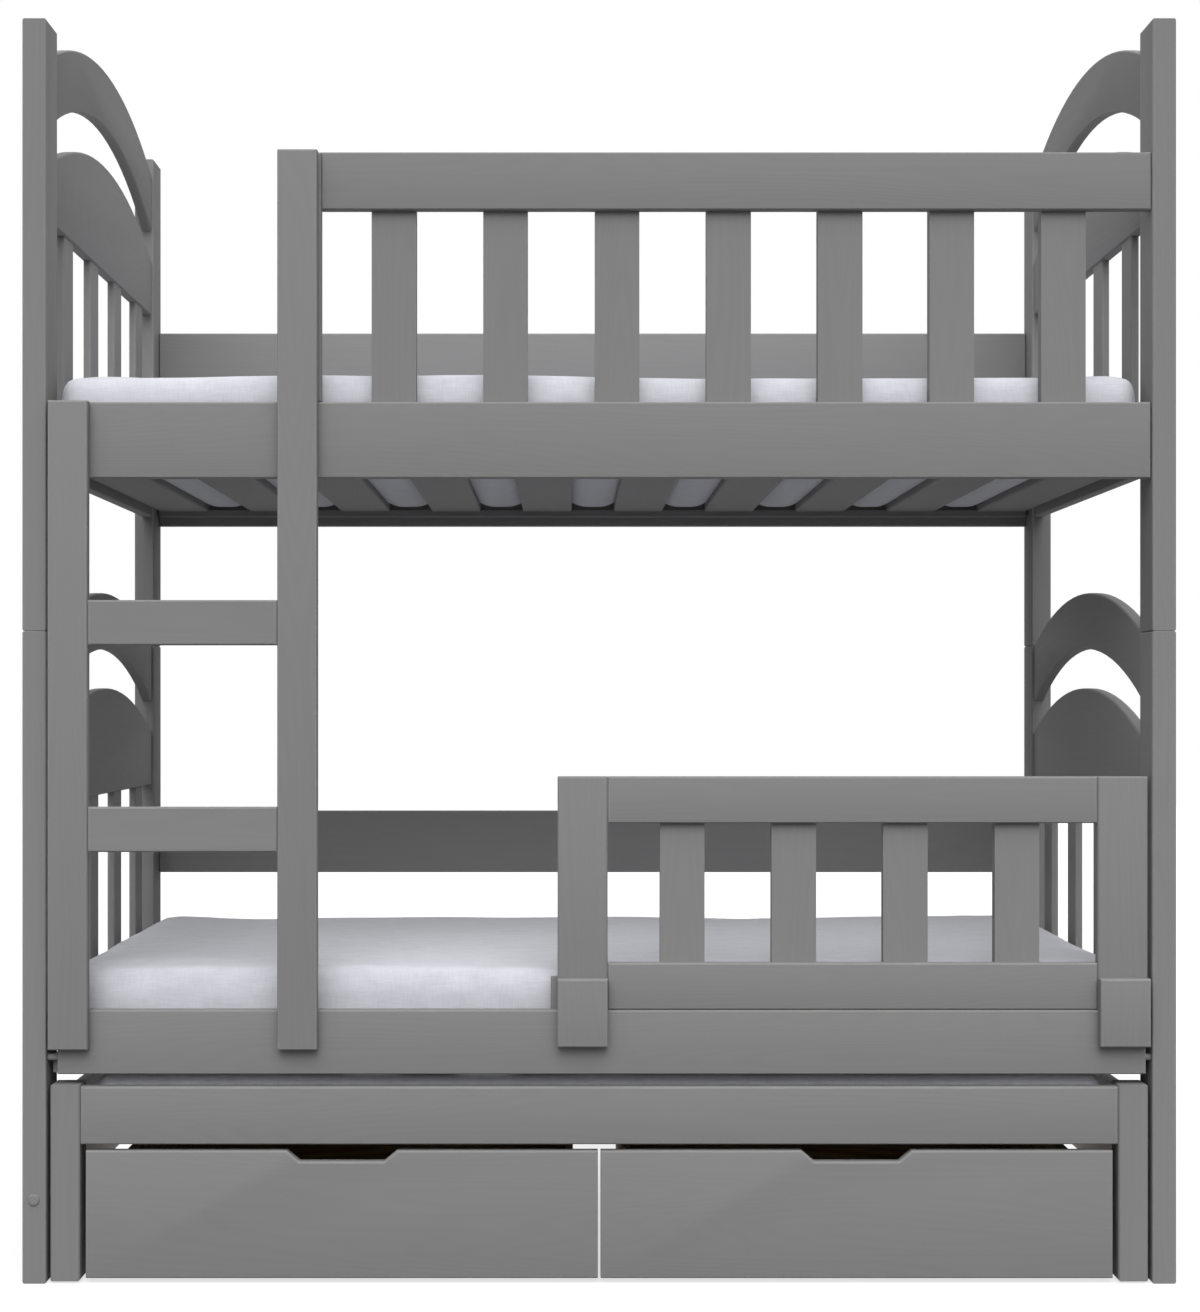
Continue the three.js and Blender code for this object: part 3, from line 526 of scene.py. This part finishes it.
def dress_frame_boards():
    """Boards keep their CAD shape, with grain along each, and on rounded edges worn paint with a painted
    highlight.
    """
    for name, obj in nodes.items():
        if "mattress" in name or "wheel" in name:
            continue
        low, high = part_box(name)
        if name.endswith("drawer_box"):
            paint_by_place(obj, [BARE_PINE["X"], BARE_PINE["Y"]], drawer_box_faces(low, high))
            round_edges(obj, weld=True)
            continue
        if name == "upper_guard":
            faces = guard_faces(low, high, UPPER_GUARD_BOARD, False)
            paint_by_place(obj, [PAINTED["X"], PAINTED["Z"], WORN_EDGE_WITH_PAINTED_HIGHLIGHT], faces)
        elif name == "lower_guard_grille":
            faces = guard_faces(low, high, LOWER_GUARD_BOARD, True)
            paint_by_place(obj, [PAINTED["X"], PAINTED["Z"], WORN_EDGE_WITH_PAINTED_HIGHLIGHT], faces)
        elif name.endswith("end_slats"):
            paint_by_place(obj, [PAINTED["Y"], PAINTED["Z"], WORN_EDGE_WITH_PAINTED_HIGHLIGHT], end_slat_faces(low))
        elif name.endswith("slatted_base"):
            paint_by_place(obj, [PAINTED["X"], PAINTED["Y"], WORN_EDGE_WITH_PAINTED_HIGHLIGHT], slatted_base_faces(low, high))
        elif name.startswith("trundle_") and name.endswith("_side"):
            materials = [PAINTED["Y"], PAINTED["Z"], ZINC, WORN_EDGE_WITH_PAINTED_HIGHLIGHT]
            paint_by_place(obj, materials, trundle_side_faces(low, high))
        elif name.endswith("panel") or name.endswith("arch"):
            paint(obj, PAINTED["Y"], WORN_EDGE_WITH_PAINTED_HIGHLIGHT)
        else:
            paint(obj, PAINTED[grain_axis(name)], WORN_EDGE_WITH_PAINTED_HIGHLIGHT)
        # The rounded edges take the last material, which carries a painted highlight and wear.
        round_edges(obj, edge_slot=len(obj.data.materials) - 1, weld=True)


def slat_spans(name, behind):
    """The left and right side of each slat that stands behind a guard's boards."""
    places = sorted(vert.co.x for vert in nodes[name].data.vertices if vert.co.y > behind)
    spans = [[places[0], places[0]]]
    for place in places:
        if place - spans[-1][1] > SLAT_SPACE:
            spans.append([place, place])
        spans[-1][1] = place
    return spans


def slat_fronts(name, bottom, top, body):
    """The front layer of a guard's slats, which are let into the backs of the boards."""
    low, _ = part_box(name)
    board_back = low.y + BOARD
    front = board_back - SLAT_LET_IN
    back = board_back + SLAT_OVERLAP
    for k, (left, right) in enumerate(slat_spans(name, board_back + SLAT_OVERLAP)):
        across = (left - SLAT_PROUD, right + SLAT_PROUD)
        upright = (bottom - SLAT_HIDDEN_END, top + SLAT_HIDDEN_END)
        corners = [(x, y, z) for z in upright for y in (front, back) for x in across]
        sides = [(0, 1, 5, 4), (1, 3, 7, 5), (3, 2, 6, 7), (2, 0, 4, 6), (0, 2, 3, 1), (4, 5, 7, 6)]
        made = piece(f"{name}_slat_front_{k + 1}", corners, sides, PAINTED["Z"], WORN_EDGE_WITH_PAINTED_HIGHLIGHT)
        round_edges(made, edge_slot=1)
        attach(made, body)


def guard_slat_fronts():
    """Slat fronts from rail to board on the upper guard, and from board to board on the lower one."""
    _, upper_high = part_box("upper_guard")
    _, rail_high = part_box("upper_front_rail")
    slat_fronts("upper_guard", rail_high.z, upper_high.z - UPPER_GUARD_BOARD, "bed_frame")
    lower_low, lower_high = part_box("lower_guard_grille")
    slat_fronts("lower_guard_grille", lower_low.z + LOWER_GUARD_BOARD,
                lower_high.z - LOWER_GUARD_BOARD, "lower_guard")


def grid_lines(low, high, extra):
    """Even lines from low to high, giving way to the extra ones near them."""
    count = max(MATTRESS_LEAST_CELLS, round((high - low) / MATTRESS_CELL))
    even = [low + (high - low) * k / count for k in range(1, count)]
    space = MATTRESS_CELL * CELL_SPACE_SHARE
    free = [p for p in even if all(abs(p - e) > space for e in extra)]
    return sorted([low, high] + free + extra)


def rounding_lines(low, high, edge):
    """Lines that sample a rounded edge evenly at both ends."""
    offsets = [edge * (1 - math.tan(math.radians(turn))) for turn in MATTRESS_EDGE_TURNS]
    return [low + offset for offset in offsets] + [high - offset for offset in offsets]


def sag_lines(gaps):
    """Lines where the cover turns down beside each slat or batten."""
    bend = SAG_CLEARANCE + SAG_SLOPE * SAG_BEND_SHARE
    steps = (SAG_CLEARANCE, bend, SAG_CLEARANCE + SAG_SLOPE)
    return [line for a, b in gaps for step in steps for line in (a + step, b - step)]


def slat_gaps(base):
    """The gaps between the slats of a base and between its battens, and the sag of a cover in them."""
    low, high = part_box(base)
    pitch = (high.x - low.x - SLAT_WIDTH) / (SLAT_COUNT - 1)
    slat_ends = [low.x + SLAT_WIDTH + k * pitch for k in range(SLAT_COUNT - 1)]
    x_gaps = [(end, end + pitch - SLAT_WIDTH) for end in slat_ends]
    y_gap = (low.y + BATTEN_WIDTH, high.y - BATTEN_WIDTH)
    sag = SAG_SHARE * (high.z - low.z - BATTEN_HEIGHT + SLAT_HOUSING)
    return x_gaps, y_gap, sag


def box_on_grid(grid):
    """A closed box with a vertex wherever two grid lines cross on its faces."""
    mesh = bmesh.new()
    index = {}

    def corner(key):
        if key not in index:
            index[key] = mesh.verts.new([grid[a][key[a]] for a in range(3)])
        return index[key]

    for a in range(3):
        b = (a + 1) % 3
        c = (a + 2) % 3
        for end in (0, len(grid[a]) - 1):
            for u in range(len(grid[b]) - 1):
                for v in range(len(grid[c]) - 1):
                    ring = []
                    for du, dv in ((0, 0), (1, 0), (1, 1), (0, 1)):
                        key = [0, 0, 0]
                        key[a] = end
                        key[b] = u + du
                        key[c] = v + dv
                        ring.append(corner(tuple(key)))
                    if end == 0:
                        ring.reverse()
                    mesh.faces.new(ring)
    return mesh


def mattress(name, base, body):
    """A sprung block in its cover, lying on a slatted base."""
    low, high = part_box(name)
    x_gaps, y_gap, sag = slat_gaps(base)
    x_lines = rounding_lines(low.x, high.x, MATTRESS_EDGE) + sag_lines(x_gaps)
    y_lines = rounding_lines(low.y, high.y, MATTRESS_EDGE) + sag_lines([y_gap])
    z_lines = [low.z + MATTRESS_BOTTOM_EDGE, high.z - MATTRESS_EDGE,
               high.z - MATTRESS_EDGE * MATTRESS_SHOULDER_SHARE]
    mesh = box_on_grid([
        grid_lines(low.x, high.x, x_lines),
        grid_lines(low.y, high.y, y_lines),
        grid_lines(low.z, high.z, z_lines),
    ])
    shape_mattress(mesh, low, high, x_gaps, y_gap, sag)
    data = bpy.data.meshes.new(name + "_cover")
    mesh.to_mesh(data)
    mesh.free()
    obj = bpy.data.objects.new(name + "_cover", data)
    scene.collection.objects.link(obj)
    fill_cover(obj, low.z + PINNED_HEIGHT)
    fit_ends(obj, low, high)
    for polygon in obj.data.polygons:
        polygon.use_smooth = True
    paint(obj, LINEN)
    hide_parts(name)
    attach(obj, body)


def evaluated_mesh(obj):
    """The object's mesh with its modifiers applied."""
    graph = bpy.context.evaluated_depsgraph_get()
    return bpy.data.meshes.new_from_object(obj.evaluated_get(graph))


def fill_cover(obj, pinned_below):
    """Runs the cover as slack cloth under pressure, held below by the slats and inside by its core."""
    remesh = obj.modifiers.new("remesh", "REMESH")
    remesh.mode = "VOXEL"
    remesh.voxel_size = CLOTH_VOXEL
    shaped = evaluated_mesh(obj)
    obj.modifiers.clear()
    obj.data = shaped
    held = obj.vertex_groups.new(name="held")
    held.add([v.index for v in shaped.vertices if v.co.z < pinned_below], 1.0, "REPLACE")
    cloth = obj.modifiers.new("cloth", "CLOTH")
    cloth.settings.use_pressure = True
    cloth.settings.uniform_pressure_force = CLOTH_PRESSURE
    cloth.settings.effector_weights.gravity = 0.0
    cloth.settings.shrink_min = CLOTH_SLACK
    cloth.settings.vertex_group_mass = held.name
    cloth.settings.bending_stiffness = CLOTH_STIFFNESS
    cloth.point_cache.frame_start = 1
    cloth.point_cache.frame_end = CLOTH_FRAMES
    for step in range(1, CLOTH_FRAMES + 1):
        scene.frame_set(step)
    filled = evaluated_mesh(obj)
    obj.modifiers.clear()
    outwards = [Vector(v.normal) for v in shaped.vertices]
    for vert, out, after in zip(shaped.vertices, outwards, filled.vertices):
        move = after.co - vert.co
        inward = min(0.0, move.dot(out) + CORE_GIVE)
        move -= out * inward
        if move.length > CLOTH_CAP:
            move *= CLOTH_CAP / move.length
        vert.co += move
    scene.frame_set(1)
    finer = obj.modifiers.new("subdivision", "SUBSURF")
    finer.levels = 1
    finer.render_levels = 1


def fit_ends(obj, low, high):
    """Draws the filled cover out again to the length and depth of its core."""
    filled = evaluated_mesh(obj)
    for axis in (0, 1):
        places = [vert.co[axis] for vert in filled.vertices]
        share = (high[axis] - low[axis]) / (max(places) - min(places))
        middle = (max(places) + min(places)) / 2
        for vert in obj.data.vertices:
            vert.co[axis] = (low[axis] + high[axis]) / 2 + (vert.co[axis] - middle) * share


def eased(value):
    """0 below 0, 1 above 1, smooth between."""
    share = min(max(value, 0.0), 1.0)
    return share * share * (3 - 2 * share)


def depth_into(place, gaps):
    """How far a place has come into one of the gaps, from 0 at its edges to 1."""
    return max(eased((min(place - a, b - place) - SAG_CLEARANCE) / SAG_SLOPE) for a, b in gaps)


def rounded(place, low, high):
    """A place on a box moved onto its rounded edge, and the way out of the box from there."""
    edge = MATTRESS_EDGE
    inner = Vector((
        min(max(place.x, low.x + edge), high.x - edge),
        min(max(place.y, low.y + edge), high.y - edge),
        min(max(place.z, low.z + MATTRESS_BOTTOM_EDGE), high.z - edge),
    ))
    out = place - inner
    squeeze = MATTRESS_BOTTOM_EDGE / edge if out.z < 0 else 1.0
    out.z /= squeeze
    if out.length > 1e-9:
        out.normalize()
    return inner + Vector((out.x * edge, out.y * edge, out.z * edge * squeeze)), out


def ripple(place, stretch):
    """Smooth noise at a place, stretched by a scale on each axis."""
    return noise.noise(Vector([at * scale for at, scale in zip(place, stretch)]))


def shape_mattress(mesh, low, high, x_gaps, y_gap, sag):
    """Rounds the edges, crowns and ripples the top, draws the sides in, and sags between the slats."""
    middle = (low + high) / 2
    half = (high - low) / 2
    for vert in mesh.verts:
        point, out = rounded(vert.co, low, high)
        u = (point.x - middle.x) / half.x
        v = (point.y - middle.y) / half.y
        w = (point.z - low.z) / (high.z - low.z)
        point.y -= math.copysign(MATTRESS_DRAW_IN * abs(out.y) * (1 - u * u), out.y)
        point.x -= math.copysign(MATTRESS_DRAW_IN * abs(out.x) * (1 - v * v), out.x)
        if w > TOP_SHARE:
            wave = ripple((point.x, point.y, low.z), WAVE_STRETCH)
            rise = MATTRESS_CROWN * (1 - max(u * u, v * v)) + WAVE_HEIGHT * wave
            point.z += rise * max(0.0, out.z)
        if w > UNDERSIDE_SHARE:
            point -= out * WRINKLE_HEIGHT * ripple(point, WRINKLE_STRETCH)
        elif out.z < FACES_DOWN:
            point.z -= sag * depth_into(point.x, x_gaps) * depth_into(point.y, [y_gap])
        vert.co = point
    mesh.normal_update()


def turned(name, centre, profile, materials):
    """A piece turned about X from (along, radius, material number) points, closed at both ends."""
    vertices = []
    faces = []
    numbers = []
    rows = len(profile)
    for k in range(WHEEL_SEGMENTS):
        angle = 2 * math.pi * k / WHEEL_SEGMENTS
        for offset, radius, _ in profile:
            vertices.append((
                centre[0] + offset,
                centre[1] + radius * math.cos(angle),
                centre[2] + radius * math.sin(angle),
            ))
    for k in range(WHEEL_SEGMENTS):
        after = (k + 1) % WHEEL_SEGMENTS
        for r in range(rows - 1):
            faces.append((k * rows + r, after * rows + r, after * rows + r + 1, k * rows + r + 1))
            numbers.append(profile[r][2])
    faces.append(tuple(k * rows for k in reversed(range(WHEEL_SEGMENTS))))
    numbers.append(profile[0][2])
    faces.append(tuple(k * rows + rows - 1 for k in range(WHEEL_SEGMENTS)))
    numbers.append(profile[-1][2])
    obj = piece(name, vertices, faces, *materials)
    for polygon, number in zip(obj.data.polygons, numbers):
        polygon.material_index = number
    round_edges(obj, WHEEL_EDGE_ROUND)
    return obj


def wheel_profile(radius, width, bore):
    """A tread with eased edges, a recessed web and a raised hub on each side."""
    half = width / 2
    web = half - WHEEL_WEB_DEPTH
    hub = radius * WHEEL_HUB_SHARE
    rim = radius * WHEEL_RIM_SHARE
    side = [(-half, bore), (-half, hub), (-web, hub + WHEEL_WEB_SLOPE), (-web, rim - WHEEL_WEB_SLOPE),
            (-half, rim)]
    side += [(-half + inwards, radius - under) for inwards, under in TREAD_SHOULDER]
    return side + [(-along_x, r) for along_x, r in reversed(side)]


def castor_wheels():
    """A moulded wheel on each castor pin of the trundle bed."""
    for side in ("left", "right"):
        for place in ("front", "back"):
            name = f"trundle_{place}_{side}_wheel"
            low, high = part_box(name)
            radius = (high.z - low.z) / 2
            profile = wheel_profile(radius, high.x - low.x, radius * CASTOR_BORE_SHARE)
            made = turned(name + "_tread", tuple((low + high) / 2),
                          [(offset, size, 0) for offset, size in profile], [PLASTIC])
            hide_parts(name)
            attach(made, f"trundle_{place}_{side}_castor")


def drawer_wheel_sets():
    """Two moulded wheels on a steel axle, for each end of each drawer."""
    for side in ("left", "right"):
        for place in ("front", "back"):
            name = f"{side}_drawer_{place}_wheels"
            low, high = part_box(name)
            radius = (high.z - low.z) / 2
            end = (high.x - low.x) / 2
            middle = end - DRAWER_AXLE_END - DRAWER_WHEEL_WIDTH / 2
            wheel = wheel_profile(radius, DRAWER_WHEEL_WIDTH, DRAWER_AXLE_RADIUS)
            tip = DRAWER_AXLE_RADIUS * AXLE_TIP_SHARE
            profile = [(-end, tip, 1), (-end + AXLE_CHAMFER, DRAWER_AXLE_RADIUS, 1)]
            for centre in (-middle, middle):
                profile += [(centre + offset, size, 0) for offset, size in wheel[:-1]]
                profile.append((centre + wheel[-1][0], wheel[-1][1], 1))
            profile += [(end - AXLE_CHAMFER, DRAWER_AXLE_RADIUS, 1), (end, tip, 1)]
            made = turned(name + "_turned", tuple((low + high) / 2), profile, [PLASTIC, ZINC])
            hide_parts(name)
            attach(made, f"{side}_drawer_{place}_wheel_set")


def cover_cap():
    """The round plastic cap over the bed bolt on the left front post."""
    post_low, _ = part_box("lower_front_left_post")
    face = post_low.y
    x, z = CAP_PLACE
    vertices = []
    for share, behind in CAP_RINGS:
        for k in range(CAP_SIDES):
            angle = 2 * math.pi * k / CAP_SIDES
            vertices.append((x + CAP_RADIUS * share * math.cos(angle), face + behind,
                             z + CAP_RADIUS * share * math.sin(angle)))
    faces = []
    for r in range(len(CAP_RINGS) - 1):
        ring = r * CAP_SIDES
        for k in range(CAP_SIDES):
            after = (k + 1) % CAP_SIDES
            faces.append((ring + k, ring + after, ring + CAP_SIDES + after, ring + CAP_SIDES + k))
    last = (len(CAP_RINGS) - 1) * CAP_SIDES
    faces.append(tuple(last + k for k in range(CAP_SIDES)))
    faces.append(tuple(reversed(range(CAP_SIDES))))
    obj = piece("cover_cap", vertices, faces, PAINTED["Z"])
    for polygon in obj.data.polygons:
        polygon.use_smooth = True
    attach(obj, "bed_frame")


def camera():
    """The photo's own view of the bed."""
    data = bpy.data.cameras.new("camera")
    data.lens = CAMERA_LENS
    data.sensor_width = SENSOR
    data.sensor_fit = "AUTO"
    data.shift_x, data.shift_y = CAMERA_SHIFT
    data.clip_end = 100.0
    obj = bpy.data.objects.new("camera", data)
    obj.location = CAMERA_PLACE
    obj.rotation_euler = (math.radians(90), 0, 0)
    scene.collection.objects.link(obj)
    scene.camera = obj


def seen_white(tree, place):
    """1 for camera, glossy and transmission rays, 0 for the rays that light the object."""
    path = node(tree, "ShaderNodeLightPath", place)
    total = path.outputs["Is Camera Ray"]
    for k, name in enumerate(("Is Glossy Ray", "Is Transmission Ray")):
        add = node(tree, "ShaderNodeMath", (place[0] + 200 * (k + 1), place[1]), operation="MAXIMUM")
        tree.links.new(total, add.inputs[0])
        tree.links.new(path.outputs[name], add.inputs[1])
        total = add.outputs[0]
    return total


def world():
    """A white studio: plain white where it is seen, and where it lights a soft dome of several lights."""
    made = bpy.data.worlds.new("studio")
    made.use_nodes = True
    tree = made.node_tree
    tree.nodes.clear()
    output = node(tree, "ShaderNodeOutputWorld", (900, 0))
    direction = node(tree, "ShaderNodeTexCoord", (-900, 0))
    total = None
    for k, (towards, power, strength) in enumerate(DOME_LIGHTS):
        facing = node(tree, "ShaderNodeVectorMath", (-700, -200 * k), operation="DOT_PRODUCT")
        facing.inputs[1].default_value = Vector(towards).normalized()
        tree.links.new(direction.outputs["Generated"], facing.inputs[0])
        front = node(tree, "ShaderNodeMath", (-500, -200 * k), operation="MAXIMUM")
        front.inputs[1].default_value = 0.0
        tree.links.new(facing.outputs["Value"], front.inputs[0])
        focus = node(tree, "ShaderNodeMath", (-300, -200 * k), operation="POWER")
        focus.inputs[1].default_value = power
        tree.links.new(front.outputs[0], focus.inputs[0])
        add = node(tree, "ShaderNodeMath", (-100, -200 * k), operation="MULTIPLY_ADD")
        add.inputs[1].default_value = strength
        add.inputs[2].default_value = DOME_LEVEL
        tree.links.new(focus.outputs[0], add.inputs[0])
        if total is not None:
            tree.links.new(total, add.inputs[2])
        total = add.outputs[0]
    light = node(tree, "ShaderNodeBackground", (300, 100), {"Color": rgba(WHITE)})
    tree.links.new(total, light.inputs["Strength"])
    white = node(tree, "ShaderNodeBackground", (300, -100), {"Color": rgba(WHITE), "Strength": 1.0})
    mix = node(tree, "ShaderNodeMixShader", (600, 0))
    tree.links.new(seen_white(tree, (-400, 500)), mix.inputs[0])
    tree.links.new(light.outputs[0], mix.inputs[1])
    tree.links.new(white.outputs[0], mix.inputs[2])
    tree.links.new(mix.outputs[0], output.inputs[0])
    scene.world = made


def floor():
    """A plain floor: pale and faintly shaded where it is seen, dull where it throws light back."""
    material, tree, shader = new_material("studio_floor")
    seen = seen_white(tree, (-900, 600))
    speck = stretched_noise(tree, (1.0, 1.0, 1.0), 3.0, 2.0, (-900, 200))
    white = ramp(tree, speck, [(0.3, FLOOR_SPECK), (0.7, WHITE)], (-600, 200))
    colour = node(tree, "ShaderNodeMix", (-250, 200), data_type="RGBA")
    colour.inputs["A"].default_value = rgba((FLOOR_ALBEDO,) * 3)
    tree.links.new(seen, colour.inputs["Factor"])
    tree.links.new(white, colour.inputs["B"])
    tree.links.new(colour.outputs["Result"], shader.inputs["Base Color"])
    shader.inputs["Roughness"].default_value = 0.9
    shader.inputs["Specular IOR Level"].default_value = 0.0
    glow = node(tree, "ShaderNodeEmission", (300, -400), {"Color": rgba(WHITE), "Strength": 1.0})
    share = node(tree, "ShaderNodeMath", (100, 500), operation="MULTIPLY")
    share.inputs[1].default_value = 1 - FLOOR_SHADOW
    tree.links.new(seen, share.inputs[0])
    mix = node(tree, "ShaderNodeMixShader", (600, 200))
    tree.links.new(share.outputs[0], mix.inputs[0])
    tree.links.new(shader.outputs[0], mix.inputs[1])
    tree.links.new(glow.outputs[0], mix.inputs[2])
    output = next(n for n in tree.nodes if n.type == "OUTPUT_MATERIAL")
    tree.links.new(mix.outputs[0], output.inputs["Surface"])
    corners = [(x * FLOOR_HALF, y * FLOOR_HALF, 0) for x, y in ((-1, -1), (1, -1), (1, 1), (-1, 1))]
    obj = piece("floor", corners, [(0, 1, 2, 3)], material)


camera()
world()
floor()
dress_frame_boards()
guard_slat_fronts()
mattress("lower_mattress", "lower_slatted_base", "bed_frame")
mattress("upper_mattress", "upper_slatted_base", "bed_frame")
mattress("trundle_mattress", "trundle_slatted_base", "trundle")
castor_wheels()
drawer_wheel_sets()
cover_cap()

scene.view_settings.view_transform = "Standard"
